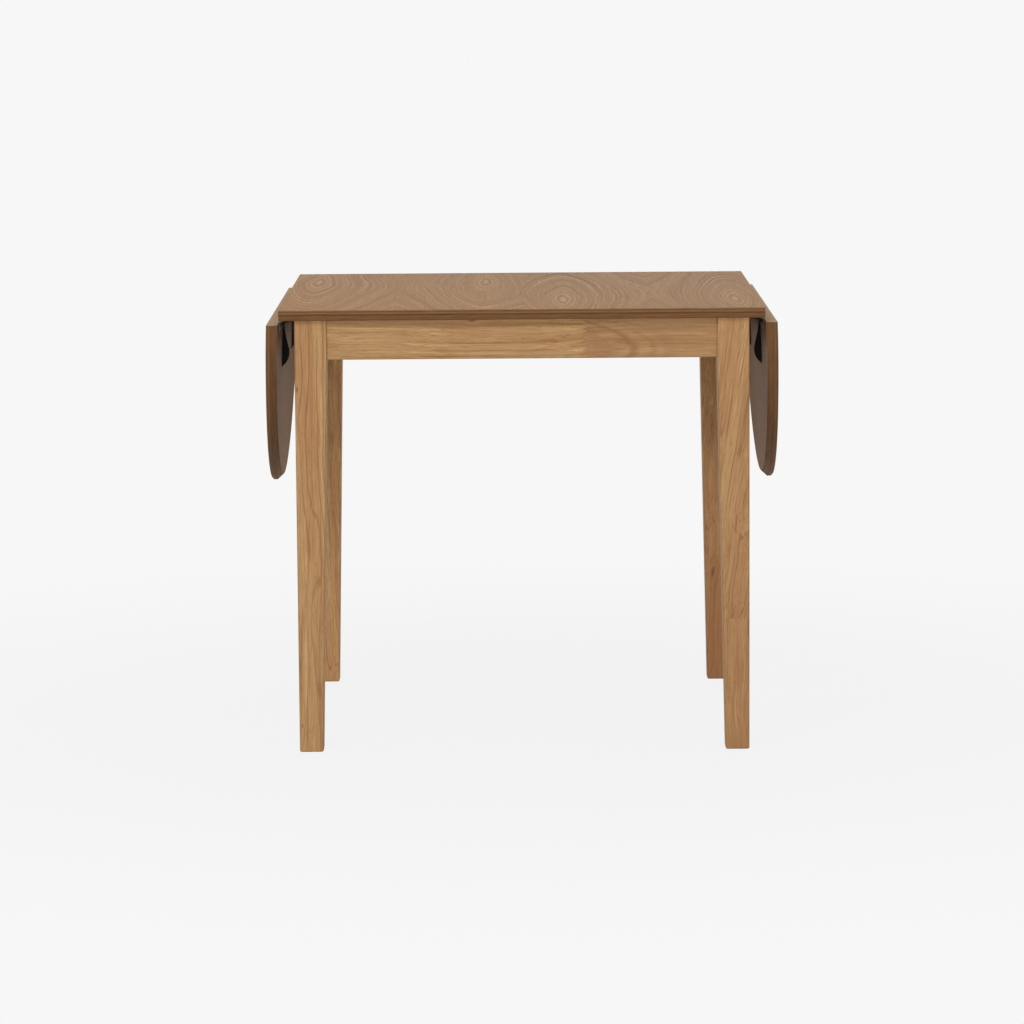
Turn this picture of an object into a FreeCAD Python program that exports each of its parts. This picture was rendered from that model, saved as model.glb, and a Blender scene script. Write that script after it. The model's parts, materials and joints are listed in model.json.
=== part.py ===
import FreeCAD, Part
import math
import os
import Sketcher

# A drop-leaf table: a fixed top on a four-leg frame, with a D-shaped leaf hinged to each end.
# X runs from leaf to leaf, Y from front to back, Z up; the origin is on the floor under the middle.
# The leaves hang in the rest pose, and each is held up by two self-locking supports when raised.

DOCUMENT = FreeCAD.newDocument("drop_leaf_table")
SHEET = DOCUMENT.addObject("Spreadsheet::Sheet", "Sizes")

# Driving dimensions in millimetres, angles in degrees; names that end in share are plain ratios.
SIZES = (
    # boards
    ("table_height", 750), ("top_length", 810), ("top_depth", 750), ("board_thickness", 18),
    ("edge_chamfer", 10), ("edge_round", 2), ("leaf_length", 303), ("leaf_straight", 12),
    ("leaf_corner_radius", 120), ("leaf_gap", 1), ("leaf_ease", 2.5),
    # hinge axis, below the underside and inboard of the end of the top, and how far the leaf hangs out
    ("axis_drop", 4.4), ("axis_inset", 1.9), ("hang_lean", 2),
    # frame
    ("leg_side", 54), ("leg_foot_side", 40), ("leg_inset_end", 25), ("leg_inset_front", 19),
    ("leg_round", 3), ("foot_ease", 2), ("apron_height", 67), ("apron_thickness", 20),
    ("front_setback", 6), ("end_setback", 26), ("apron_ease", 1.5),
    ("block_thickness", 28), ("block_height", 46), ("block_drop", 8), ("block_clearance", 4),
    ("bolt_radius", 4), ("bolt_in_leg", 32), ("bolt_stickout", 14), ("bolt_clearance", 0.3),
    ("nut_width", 13), ("nut_height", 6.5),
    ("angle_leg", 26), ("angle_width", 20), ("angle_steel", 2), ("angle_place_share", 0.46),
    # wood screws
    ("screw_radius", 1.8), ("screw_length", 13), ("screw_head_radius", 3.6), ("screw_head_height", 1.8),
    ("screw_clearance", 0.2),
    # butt hinges
    ("hinge_leg_clearance", 10), ("hinge_length", 60), ("flap_width", 21), ("flap_steel", 1.6),
    ("barrel_radius", 3.6), ("hinge_pin_radius", 1.8), ("running_clearance", 0.06),
    ("barrel_clearance", 0.6), ("knuckle_gap", 0.4), ("flap_screw_spacing", 40), ("flap_screw_edge", 8),
    # self-locking supports
    ("support_hinge_spacing", 52), ("support_width", 40), ("support_steel", 2), ("plate_reach", 46),
    ("plate_start", 6), ("cheek_reach", 40), ("cheek_gap", 9), ("eye_radius", 4), ("pivot_radius", 2),
    ("heel_radius", 11), ("heel_face_drop", 1.8),
    ("heel_width", 8), ("tongue_end", 16), ("strap_start", 12), ("strap_end", 91),
    ("fin_start", 21), ("fin_peak", 61), ("fin_depth", 12), ("fin_tip_radius", 30), ("short_fin_start", 58),
    ("short_fin_depth", 7), ("short_fin_knee", 70),
    ("lock_pin_back", 24), ("lock_pin_drop", 9), ("lock_pin_radius", 1.75), ("lock_eye_radius", 4.5),
    ("lock_width", 7.6), ("nose_reach", 1.5), ("nose_flat", 3.5), ("nose_height", 5),
    ("ride_clearance", 0.45),
    ("tab_back", 41.5), ("tab_thickness", 3.5), ("tab_bottom", 30), ("tab_top", 7), ("tab_ease", 1),
    ("plate_screw_spacing", 27), ("plate_screw_back", 27),
    ("strap_screw_first", 34), ("strap_screw_last", 76),
)


class Size:
    """A length: its value now, and the sheet expression that gives it."""

    def __init__(self, value, text):
        self.value = value
        self.text = text

    def join(self, other, sign, value):
        return Size(value, "(%s %s %s)" % (self.text, sign, other.text))

    def __add__(self, other):
        other = as_size(other)
        return self.join(other, "+", self.value + other.value)

    def __sub__(self, other):
        other = as_size(other)
        return self.join(other, "-", self.value - other.value)

    def __mul__(self, other):
        other = as_size(other)
        return self.join(other, "*", self.value * other.value)

    def __truediv__(self, other):
        other = as_size(other)
        return self.join(other, "/", self.value / other.value)

    def __neg__(self):
        return as_size(0) - self

    def root(self):
        return Size(math.sqrt(self.value), "sqrt(%s)" % self.text)


def as_size(number):
    if isinstance(number, Size):
        return number
    return Size(float(number), repr(number))


def fill_sheet():
    sizes = {}
    for row, (name, value) in enumerate(SIZES, start=1):
        SHEET.set("A%d" % row, name.replace("_", " "))
        SHEET.set("B%d" % row, str(value))
        SHEET.setAlias("B%d" % row, name)
    DOCUMENT.recompute()
    for name, value in SIZES:
        sizes[name] = Size(float(SHEET.get(name)), "Sizes." + name)
    return sizes


D = fill_sheet()
ZERO = as_size(0)
SIDES = (("left", -1), ("right", 1))
ENDS = (("front", -1), ("rear", 1))
NODES = []

# Levels and lines that several pieces share.
UNDERSIDE = D["table_height"] - D["board_thickness"]
AXIS_X = D["top_length"] / 2 - D["axis_inset"]
AXIS_Z = UNDERSIDE - D["axis_drop"]
LEAF_EDGE = D["axis_inset"] + D["leaf_gap"]
LEG_X = D["top_length"] / 2 - D["leg_inset_end"]
LEG_Y = D["top_depth"] / 2 - D["leg_inset_front"]
FRONT_APRON_Y = LEG_Y - D["front_setback"] - D["apron_thickness"]
END_APRON_X = LEG_X - D["end_setback"] - D["apron_thickness"]
APRON_BOTTOM = UNDERSIDE - D["apron_height"]
HINGE_Y = LEG_Y - D["leg_side"] - D["hinge_leg_clearance"] - D["hinge_length"] / 2
SUPPORT_Y = HINGE_Y - D["hinge_length"] / 2 - D["support_hinge_spacing"] - D["support_width"] / 2

# Small fasteners and rolled barrels are plain prisms with this many sides.
SHANK_SIDES = 6
HEAD_SIDES = 8
BOLT_SIDES = 8
BARREL_SIDES = 12


def bind(thing, name, amount):
    thing.setExpression(name, amount.text)


def new_body(label):
    body = DOCUMENT.addObject("PartDesign::Body", label)
    body.Label = label
    NODES.append(body)
    return body


def place(thing, x, y, z, axis=(0, 0, 1), angle=ZERO):
    """Moves a sub-part to a point and turns it about an axis through that point."""
    turn = FreeCAD.Rotation(FreeCAD.Vector(*axis), angle.value)
    thing.Placement = FreeCAD.Placement(FreeCAD.Vector(x.value, y.value, z.value), turn)
    bind(thing, ".Placement.Base.x", x)
    bind(thing, ".Placement.Base.y", y)
    bind(thing, ".Placement.Base.z", z)
    if angle.value:
        thing.setExpression(".Placement.Rotation.Angle", "%s * 1 deg" % angle.text)


def hang(thing, side, y):
    """Places a leaf-borne piece on the hinge axis, leaning out as the leaf hangs."""
    place(thing, AXIS_X * side, y, AXIS_Z, (0, -side, 0), D["hang_lean"])


def arc_between(start, end, radius, bulge):
    """The arc under a half circle from start to end that swells to the left (1) or right (-1)."""
    first, last = (start, end) if bulge < 0 else (end, start)
    chord = last - first
    left = FreeCAD.Vector(-chord.y, chord.x, 0).normalize()
    height = math.sqrt(max(radius ** 2 - chord.Length ** 2 / 4, 0))
    centre = (first + last) * 0.5 + left * height
    opening = math.atan2(first.y - centre.y, first.x - centre.x)
    closing = math.atan2(last.y - centre.y, last.x - centre.x)
    if closing < opening:
        closing += 2 * math.pi
    circle = Part.Circle(centre, FreeCAD.Vector(0, 0, 1), radius)
    return Part.ArcOfCircle(circle, opening, closing)


def draw(body, plane, offset, outlines, arcs=(), circles=()):
    """A sketch with closed outlines and circles.

    Each outline is a list of (x, y) corners, arcs maps the number of a corner of the first outline to
    (radius, bulge) for the stretch that follows it, and circles are (x, y, radius).
    """
    sketch = body.newObject("Sketcher::SketchObject", body.Name + "_outline")
    support = [item for item in body.Origin.OriginFeatures if item.Role == plane][0]
    sketch.AttachmentSupport = [(support, "")]
    sketch.MapMode = "FlatFace"
    bind(sketch, ".AttachmentOffset.Base.z", offset)
    for index, corners in enumerate(outlines):
        trace(sketch, corners, {} if index else dict(arcs))
    for x, y, radius in circles:
        centre = FreeCAD.Vector(x.value, y.value, 0)
        circle = Part.Circle(centre, FreeCAD.Vector(0, 0, 1), radius.value)
        number = sketch.addGeometry(circle, False)
        pin(sketch, number, 3, x, y)
        set_radius(sketch, number, radius)
    return sketch


def trace(sketch, corners, arcs):
    """One closed outline, each of whose corners is fixed from the sketch's origin."""
    points = [FreeCAD.Vector(x.value, y.value, 0) for x, y in corners]
    count = len(points)
    ends = []
    for index, start in enumerate(points):
        end = points[(index + 1) % count]
        if index in arcs:
            radius, bulge = arcs[index]
            number = sketch.addGeometry(arc_between(start, end, radius.value, bulge), False)
            ends.append((number, 1, 2) if bulge < 0 else (number, 2, 1))
        else:
            number = sketch.addGeometry(Part.LineSegment(start, end), False)
            ends.append((number, 1, 2))
    for index, (x, y) in enumerate(corners):
        number, first, last = ends[index]
        following, its_first, its_last = ends[(index + 1) % count]
        sketch.addConstraint(Sketcher.Constraint("Coincident", number, last, following, its_first))
        pin(sketch, number, first, x, y)
        if index in arcs:
            set_radius(sketch, number, arcs[index][0])


def pin(sketch, number, point, x, y):
    """Fixes a point of a sketch at (x, y) from its origin."""
    for kind, amount in (("DistanceX", x), ("DistanceY", y)):
        index = sketch.addConstraint(Sketcher.Constraint(kind, -1, 1, number, point, amount.value))
        bind(sketch, "Constraints[%d]" % index, amount)


def set_radius(sketch, number, radius):
    index = sketch.addConstraint(Sketcher.Constraint("Radius", number, radius.value))
    bind(sketch, "Constraints[%d]" % index, radius)


def pad(body, plane, low, high, outlines, arcs=(), circles=()):
    """Adds the outlines to the body, from low to high along the plane's normal."""
    sketch = draw(body, plane, (low + high) / 2, outlines, arcs, circles)
    feature = body.newObject("PartDesign::Pad", body.Name + "_pad")
    feature.Profile = sketch
    feature.SideType = "Symmetric"
    bind(feature, "Length", high - low)
    DOCUMENT.recompute()
    return feature


def pad_across(body, low, high, outlines, arcs=(), circles=()):
    """A pad drawn in X and Z that runs from low to high along Y."""
    return pad(body, "XZ_Plane", -high, -low, outlines, arcs, circles)


def drill(body, plane, outlines):
    """Holes right through the body, along the plane's normal."""
    sketch = draw(body, plane, ZERO, outlines)
    before = body.Shape.Volume
    feature = body.newObject("PartDesign::Pocket", body.Name + "_holes")
    feature.Profile = sketch
    feature.SideType = "Symmetric"
    feature.Type = "ThroughAll"
    DOCUMENT.recompute()
    if not body.Shape.Volume < before:
        raise RuntimeError("no hole was cut in " + body.Label)


def polygon(x, y, radius, sides):
    """The corners of a regular polygon about (x, y)."""
    turns = [2 * math.pi * step / sides for step in range(sides)]
    return [(x + radius * math.cos(turn), y + radius * math.sin(turn)) for turn in turns]


def dress(body, kind, amount, wanted):
    """A fillet or chamfer on the edges of the body that the test picks."""
    DOCUMENT.recompute()
    base = body.Tip
    edges = body.Tip.Shape.Edges
    names = ["Edge%d" % number for number, edge in enumerate(edges, start=1) if wanted(edge)]
    feature = body.newObject("PartDesign::" + kind, body.Name + "_" + kind.lower())
    feature.Base = (base, names)
    bind(feature, "Radius" if kind == "Fillet" else "Size", amount)
    DOCUMENT.recompute()
    return feature


def near(value, size):
    return abs(value - size.value) < D["running_clearance"].value


def rectangle(left, low, right, high):
    return [(left, low), (right, low), (right, high), (left, high)]


def mirrored(side, corners):
    """Turns an outline drawn outward and up into one for the given side of the table."""
    return [(x * side, y) for x, y in corners]


def flipped(side, arcs):
    return {index: (radius, bulge * side) for index, (radius, bulge) in arcs.items()}


def top_panel():
    body = new_body("top_panel")
    half_x = D["top_length"] / 2
    half_y = D["top_depth"] / 2
    pad(body, "XY_Plane", ZERO, D["board_thickness"], [rectangle(-half_x, -half_y, half_x, half_y)])

    def long_edge(edge, level):
        box = edge.BoundBox
        return near(abs(box.Center.y), half_y) and near(box.ZMin, level) and near(box.ZMax, level)

    dress(body, "Chamfer", D["edge_chamfer"], lambda edge: long_edge(edge, ZERO))
    dress(body, "Fillet", D["edge_round"], lambda edge: long_edge(edge, D["board_thickness"]))
    place(body, ZERO, ZERO, UNDERSIDE)


def leaf(name, side):
    """A board with a straight hinge edge, short straight sides and a wide rounded end."""
    body = new_body(name + "_leaf")
    half = D["top_depth"] / 2
    length = D["leaf_length"]
    straight = D["leaf_straight"]
    corner = D["leaf_corner_radius"]
    # The end is one arc about a point on the middle line, tangent to both corner arcs.
    run = straight - length
    rest = half - corner
    end_radius = (corner * corner - run * run - rest * rest) / ((run + corner) * 2)
    stretch = end_radius / (end_radius - corner)
    touch_down = length - end_radius + (run + end_radius) * stretch
    touch_across = rest * stretch
    edge = -LEAF_EDGE
    corners = [(-half, edge), (-half, edge - straight), (-touch_across, edge - touch_down),
               (touch_across, edge - touch_down), (half, edge - straight), (half, edge)]
    arcs = {1: (corner, -1), 2: (end_radius, -1), 3: (corner, -1)}
    inner = D["axis_drop"]
    outer = inner + D["board_thickness"]
    low, high = (inner, outer) if side > 0 else (-outer, -inner)
    pad(body, "YZ_Plane", low, high, [corners], arcs)

    def rim(edge_shape, face):
        box = edge_shape.BoundBox
        on_face = near(box.XMin, face * side) and near(box.XMax, face * side)
        return on_face and box.ZMin < edge.value - D["running_clearance"].value

    dress(body, "Chamfer", D["edge_chamfer"], lambda edge_shape: rim(edge_shape, inner))
    dress(body, "Chamfer", D["leaf_ease"], lambda edge_shape: rim(edge_shape, outer))
    hang(body, side, ZERO)


def rounded_square(side_x, side_y, width):
    """The section of a leg, from its outer corner inward, with rounded arrises."""
    r = D["leg_round"]
    inner = width - r
    outline = [(r, ZERO), (inner, ZERO), (width, r), (width, inner),
               (inner, width), (r, width), (ZERO, inner), (ZERO, r)]
    swell = 1 if side_x * side_y < 0 else -1
    arcs = {1: (r, swell), 3: (r, swell), 5: (r, swell), 7: (r, swell)}
    return [(x * -side_x, y * -side_y) for x, y in outline], arcs


def leg(end, side_y, name, side_x):
    """A square leg whose two inner faces taper below the aprons."""
    body = new_body("%s_%s_leg" % (end, name))
    top, arcs = rounded_square(side_x, side_y, D["leg_side"])
    foot, foot_arcs = rounded_square(side_x, side_y, D["leg_foot_side"])
    foot_sketch = draw(body, "XY_Plane", ZERO, [foot], foot_arcs)
    knee_sketch = draw(body, "XY_Plane", APRON_BOTTOM, [top], arcs)
    loft = body.newObject("PartDesign::AdditiveLoft", body.Name + "_loft")
    loft.Profile = foot_sketch
    loft.Sections = [knee_sketch]
    loft.Ruled = True
    pad(body, "XY_Plane", APRON_BOTTOM, UNDERSIDE, [top], arcs)
    dress(body, "Chamfer", D["foot_ease"], lambda edge: near(edge.BoundBox.ZMax, ZERO))
    place(body, LEG_X * side_x, LEG_Y * side_y, ZERO)


def apron(label, length, x, y, along_x):
    """A rail under the top with eased lower arrises."""
    body = new_body(label)
    half = length / 2
    thick = D["apron_thickness"] / 2
    box = rectangle(-half, -thick, half, thick) if along_x else rectangle(-thick, -half, thick, half)
    pad(body, "XY_Plane", ZERO, D["apron_height"], [box])

    def lower_arris(edge):
        box = edge.BoundBox
        span = box.XLength if along_x else box.YLength
        return near(box.ZMax, ZERO) and near(span, length)

    dress(body, "Chamfer", D["apron_ease"], lower_arris)
    place(body, x, y, APRON_BOTTOM)


def aprons():
    thick = D["apron_thickness"] / 2
    long_run = (LEG_X - D["leg_side"]) * 2
    short_run = (LEG_Y - D["leg_side"]) * 2
    for end, side_y in ENDS:
        apron(end + "_apron", long_run, ZERO, (FRONT_APRON_Y + thick) * side_y, True)
    for name, side_x in SIDES:
        apron(name + "_apron", short_run, (END_APRON_X + thick) * side_x, ZERO, False)


# How far the corner block's outer face stands from the corner where the apron faces would meet.
BLOCK_CORNER = (END_APRON_X - LEG_X + D["leg_side"] + FRONT_APRON_Y - LEG_Y + D["leg_side"]
                + D["block_clearance"])
BLOCK_TOP = UNDERSIDE - D["block_drop"]
BOLT_Z = BLOCK_TOP - D["block_height"] / 2
QUARTER_TURNS = {(1, -1): 45, (-1, -1): -45, (1, 1): 135, (-1, 1): 225}


def corner_block(end, side_y, name, side_x):
    """A mitred block across a corner of the frame, drilled for the hanger bolt."""
    body = new_body("%s_%s_corner_block" % (end, name))
    short = BLOCK_CORNER / math.sqrt(2)
    thick = D["block_thickness"]
    outline = [(-short, ZERO), (short, ZERO), (short + thick, thick), (-short - thick, thick)]
    pad(body, "XY_Plane", -D["block_height"] / 2, D["block_height"] / 2, [outline])
    drill(body, "XZ_Plane", [polygon(ZERO, ZERO, D["bolt_radius"] + D["bolt_clearance"], BOLT_SIDES)])
    x = (END_APRON_X - BLOCK_CORNER / 2) * side_x
    y = (FRONT_APRON_Y - BLOCK_CORNER / 2) * side_y
    place(body, x, y, BOLT_Z, (0, 0, 1), as_size(QUARTER_TURNS[(side_x, side_y)]))


def value(name):
    return D[name].value


def group(label, shapes):
    """Like fasteners kept as one named set of separate solids."""
    feature = DOCUMENT.addObject("Part::Feature", label)
    feature.Label = label
    feature.Shape = Part.Compound(shapes)
    feature.Placement = FreeCAD.Placement()
    NODES.append(feature)


def corner_frames():
    """The place of each corner block, with Y along its hanger bolt, away from the leg."""
    frames = []
    for end, side_y in ENDS:
        for name, side_x in SIDES:
            x = (END_APRON_X.value - BLOCK_CORNER.value / 2) * side_x
            y = (FRONT_APRON_Y.value - BLOCK_CORNER.value / 2) * side_y
            turn = FreeCAD.Rotation(FreeCAD.Vector(0, 0, 1), QUARTER_TURNS[(side_x, side_y)])
            frames.append(FreeCAD.Placement(FreeCAD.Vector(x, y, BOLT_Z.value), turn))
    return frames


def prism(radius, sides, height, top_radius=None):
    """A solid along +Z from the origin whose section is a regular polygon, tapering if asked."""
    rims = []
    for level, reach in ((0, radius), (height, top_radius or radius)):
        turns = [2 * math.pi * step / sides for step in range(sides)]
        rims.append([FreeCAD.Vector(reach * math.cos(turn), reach * math.sin(turn), level) for turn in turns])
    low, high = rims
    outlines = [low, high]
    for step in range(sides):
        following = (step + 1) % sides
        outlines.append([low[step], low[following], high[following], high[step]])
    faces = [Part.Face(Part.makePolygon(outline + outline[:1])) for outline in outlines]
    return Part.Solid(Part.Shell(faces))


def leg_bolts():
    """A hanger bolt in each leg's inner corner, with its nut on the corner block."""
    into_leg = value("block_clearance") / math.sqrt(2) + value("bolt_in_leg")
    thick = value("block_thickness")
    length = into_leg + thick + value("bolt_stickout")
    bolt = prism(value("bolt_radius"), BOLT_SIDES, length)
    bolt.translate(FreeCAD.Vector(0, 0, -into_leg))
    bore = prism(value("bolt_radius") + value("running_clearance"), BOLT_SIDES, value("nut_height"))
    nut = prism(value("nut_width") / math.sqrt(3), 6, value("nut_height")).cut(bore)
    nut.translate(FreeCAD.Vector(0, 0, thick))
    along = FreeCAD.Placement(FreeCAD.Vector(), FreeCAD.Rotation(FreeCAD.Vector(1, 0, 0), -90))
    for label, shape in (("hanger_bolts", bolt), ("hanger_nuts", nut)):
        copies = []
        for frame in corner_frames():
            copy = shape.copy()
            copy.Placement = frame.multiply(along).multiply(shape.Placement)
            copies.append(copy)
        group(label, copies)


def screw():
    """A pan-head wood screw along +Z, with the underside of its head at the origin."""
    shank = prism(value("screw_radius"), SHANK_SIDES, value("screw_length"))
    head = prism(value("screw_head_radius"), HEAD_SIDES, value("screw_head_height"),
                 value("screw_head_radius") / 2)
    head.rotate(FreeCAD.Vector(), FreeCAD.Vector(1, 0, 0), 180)
    return shank.fuse(head).removeSplitter()


def screws(label, places):
    """places are (point, direction) pairs, each point on the face that the head clamps."""
    shapes = []
    for point, direction in places:
        turn = FreeCAD.Rotation(FreeCAD.Vector(0, 0, 1), direction)
        shape = screw()
        shape.Placement = FreeCAD.Placement(point, turn)
        shapes.append(shape)
    group(label, shapes)


def screw_holes(spots):
    """The holes for screws at (x, y) spots, round enough to clear a shank turned any way."""
    radius = (D["screw_radius"] + D["screw_clearance"]) / math.cos(math.pi / HEAD_SIDES)
    return [polygon(x, y, radius, HEAD_SIDES) for x, y in spots]


def leaf_point(side, out, down, y):
    """A point on a hanging leaf, given outward and downward from the hinge axis."""
    turn = FreeCAD.Rotation(FreeCAD.Vector(0, -side, 0), value("hang_lean"))
    spot = turn.multVec(FreeCAD.Vector(out * side, 0, -down))
    return spot + FreeCAD.Vector(AXIS_X.value * side, y, AXIS_Z.value)


def leaf_outward(side):
    turn = FreeCAD.Rotation(FreeCAD.Vector(0, -side, 0), value("hang_lean"))
    return turn.multVec(FreeCAD.Vector(side, 0, 0))


def hinge_flap(label, side, y, fixed):
    """One flap of a butt hinge.

    The fixed flap has the two outer knuckles, with the pin pressed into them; the leaf flap has the
    middle knuckle, which turns on the pin.
    """
    body = new_body(label)
    inner = D["axis_drop"] - D["flap_steel"]
    outer = D["axis_drop"]
    start = D["barrel_radius"] + D["barrel_clearance"]
    end = D["flap_width"]
    root = start + D["flap_steel"]
    half = D["hinge_length"] / 2
    step = D["hinge_length"] / 6
    gap = D["knuckle_gap"]
    web_low = D["barrel_radius"] - D["flap_steel"]
    web_high = D["barrel_radius"]
    if fixed:
        plate = rectangle(-end, inner, -start, outer)
        web = rectangle(-root, web_low, ZERO, web_high)
        knuckles = ((-half, -step - gap), (step + gap, half))
        bores = []
    else:
        plate = rectangle(inner, -end, outer, -start)
        web = rectangle(web_low, -root, web_high, ZERO)
        knuckles = ((-step, step),)
        bores = [(ZERO, ZERO, D["hinge_pin_radius"] + D["running_clearance"])]
    pad_across(body, -half, half, [mirrored(side, plate)])
    barrel = polygon(ZERO, ZERO, D["barrel_radius"], BARREL_SIDES)
    for low, high in knuckles:
        pad_across(body, low, high, [mirrored(side, web)])
        pad_across(body, low, high, [barrel], (), bores)
    if fixed:
        pad_across(body, -step - gap, step + gap, [], (), [(ZERO, ZERO, D["hinge_pin_radius"])])
    reach = D["flap_width"] - D["flap_screw_edge"]
    across = D["flap_screw_spacing"] / 2
    if fixed:
        drill(body, "XY_Plane", screw_holes([(-reach * side, -across), (-reach * side, across)]))
        place(body, AXIS_X * side, y, AXIS_Z)
    else:
        drill(body, "YZ_Plane", screw_holes([(-across, -reach), (across, -reach)]))
        hang(body, side, y)


def hinges():
    """Two butt hinges to a leaf, each with its screws."""
    table_screws = []
    reach = value("flap_width") - value("flap_screw_edge")
    under = UNDERSIDE.value - value("flap_steel")
    inner = value("axis_drop") - value("flap_steel")
    for name, side in SIDES:
        leaf_screws = []
        for end, way in ENDS:
            y = HINGE_Y * way
            hinge_flap("%s_%s_hinge_fixed_flap" % (end, name), side, y, True)
            hinge_flap("%s_%s_hinge_leaf_flap" % (end, name), side, y, False)
            for spot in (-1, 1):
                along = y.value + spot * value("flap_screw_spacing") / 2
                point = FreeCAD.Vector((AXIS_X.value - reach) * side, along, under)
                table_screws.append((point, FreeCAD.Vector(0, 0, 1)))
                leaf_screws.append((leaf_point(side, inner, reach, along), leaf_outward(side)))
        screws(name + "_leaf_hinge_screws", leaf_screws)
    screws("fixed_flap_screws", table_screws)


LOCK_PIN_X = -D["lock_pin_back"]
LOCK_PIN_Z = -D["lock_pin_drop"]


SLANT = math.cos(math.pi / 4)


def support_bracket(label, side, y):
    """The fixed half of a support: a plate under the top with two cheeks.

    The pivot and the lock pin are riveted into the cheeks.
    """
    body = new_body(label)
    top = D["axis_drop"]
    plate = rectangle(-D["plate_reach"], top - D["support_steel"], -D["plate_start"], top)
    half = D["support_width"] / 2
    pad_across(body, -half, half, [mirrored(side, plate)])
    eye = D["eye_radius"]
    bevel = eye * SLANT
    lock = D["lock_eye_radius"]
    cheek = [(-D["cheek_reach"], top), (-D["plate_start"], top), (ZERO, eye), (bevel, bevel), (eye, ZERO),
             (bevel, -bevel), (ZERO, -eye), (LOCK_PIN_X, LOCK_PIN_Z - lock),
             (LOCK_PIN_X - lock * SLANT, LOCK_PIN_Z - lock * SLANT), (LOCK_PIN_X - lock, LOCK_PIN_Z),
             (-D["cheek_reach"], ZERO)]
    near_face = D["cheek_gap"] / 2
    far_face = near_face + D["support_steel"]
    for low, high in ((near_face, far_face), (-far_face, -near_face)):
        pad_across(body, low, high, [mirrored(side, cheek)])
    pins = [(ZERO, ZERO, D["pivot_radius"]), (LOCK_PIN_X * side, LOCK_PIN_Z, D["lock_pin_radius"])]
    for spot in pins:
        pad_across(body, -near_face, near_face, [], (), [spot])
    across = D["plate_screw_spacing"] / 2
    back = -D["plate_screw_back"] * side
    drill(body, "XY_Plane", screw_holes([(back, -across), (back, across)]))
    place(body, AXIS_X * side, y, AXIS_Z)


def leaf_bracket(label, side, y, way):
    """The moving half: a heel that the lock catches, and a strap with two fins along the leaf.

    The long fin is on the side towards the nearer end of the leaf, the short one faces the middle.
    """
    body = new_body(label)
    outer = D["axis_drop"]
    inner = outer - D["support_steel"]
    eye = D["eye_radius"]
    bevel = eye * SLANT
    heel = D["heel_radius"]
    face = D["heel_face_drop"]
    tongue = [(-(heel * heel - face * face).root(), -face), (-(eye * eye - face * face).root(), -face),
              (-bevel, bevel), (ZERO, eye), (bevel, bevel), (eye, ZERO), (outer, -LEAF_EDGE),
              (outer, -D["tongue_end"]), (inner, -D["tongue_end"]),
              (inner, -(heel * heel - inner * inner).root())]
    rim = flipped(side, {9: (heel, 1)})
    bore = [(ZERO, ZERO, D["pivot_radius"] + D["running_clearance"])]
    half_heel = D["heel_width"] / 2
    pad_across(body, -half_heel, half_heel, [mirrored(side, tongue)], rim, bore)
    half = D["support_width"] / 2
    strap = rectangle(inner, -D["strap_end"], outer, -D["strap_start"])
    pad_across(body, -half, half, [mirrored(side, strap)])
    peak = outer - D["fin_depth"]
    ledge = outer - D["short_fin_depth"]
    long_fin = [(outer, -D["fin_start"]), (inner, -D["fin_start"]), (peak, -D["fin_peak"]),
                (outer, -D["strap_end"])]
    short_fin = [(outer, -D["short_fin_start"]), (ledge, -D["short_fin_start"]),
                 (ledge, -D["short_fin_knee"]), (outer, -D["strap_end"])]
    fin_arc = flipped(side, {2: (D["fin_tip_radius"], -1)})
    steel = D["support_steel"]
    sheets = ((-half, -half + steel), (half - steel, half))
    toward, away = sheets if way < 0 else sheets[::-1]
    pad_across(body, toward[0], toward[1], [mirrored(side, long_fin)], fin_arc)
    pad_across(body, away[0], away[1], [mirrored(side, short_fin)], fin_arc)
    spots = [(ZERO, -D["strap_screw_first"]), (ZERO, -D["strap_screw_last"])]
    drill(body, "YZ_Plane", screw_holes(spots))
    hang(body, side, y)


def lock_lever(label, side, y):
    """A weighted catch: its nose rides the heel and drops behind it, and its tab is pushed to free it."""
    body = new_body(label)
    lock = D["lock_eye_radius"]
    nose_top = -D["heel_radius"] - D["ride_clearance"]
    reach = D["nose_reach"]
    tab_front = -D["tab_back"] + D["tab_thickness"]
    outline = [(LOCK_PIN_X, LOCK_PIN_Z + lock), (reach - D["nose_flat"], nose_top), (reach, nose_top),
               (reach, nose_top - D["nose_height"]), (LOCK_PIN_X, LOCK_PIN_Z - lock),
               (tab_front, LOCK_PIN_Z - lock), (tab_front, -D["tab_bottom"]),
               (-D["tab_back"], -D["tab_bottom"]), (-D["tab_back"], -D["tab_top"])]
    hole = [(LOCK_PIN_X * side, LOCK_PIN_Z, D["lock_pin_radius"] + D["running_clearance"])]
    half = D["lock_width"] / 2
    pad_across(body, -half, half, [mirrored(side, outline)], (), hole)

    def tab_end(edge):
        box = edge.BoundBox
        return near(box.ZMax, -D["tab_bottom"]) and near(box.YLength, D["lock_width"])

    dress(body, "Chamfer", D["tab_ease"], tab_end)
    place(body, AXIS_X * side, y, AXIS_Z)


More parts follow.
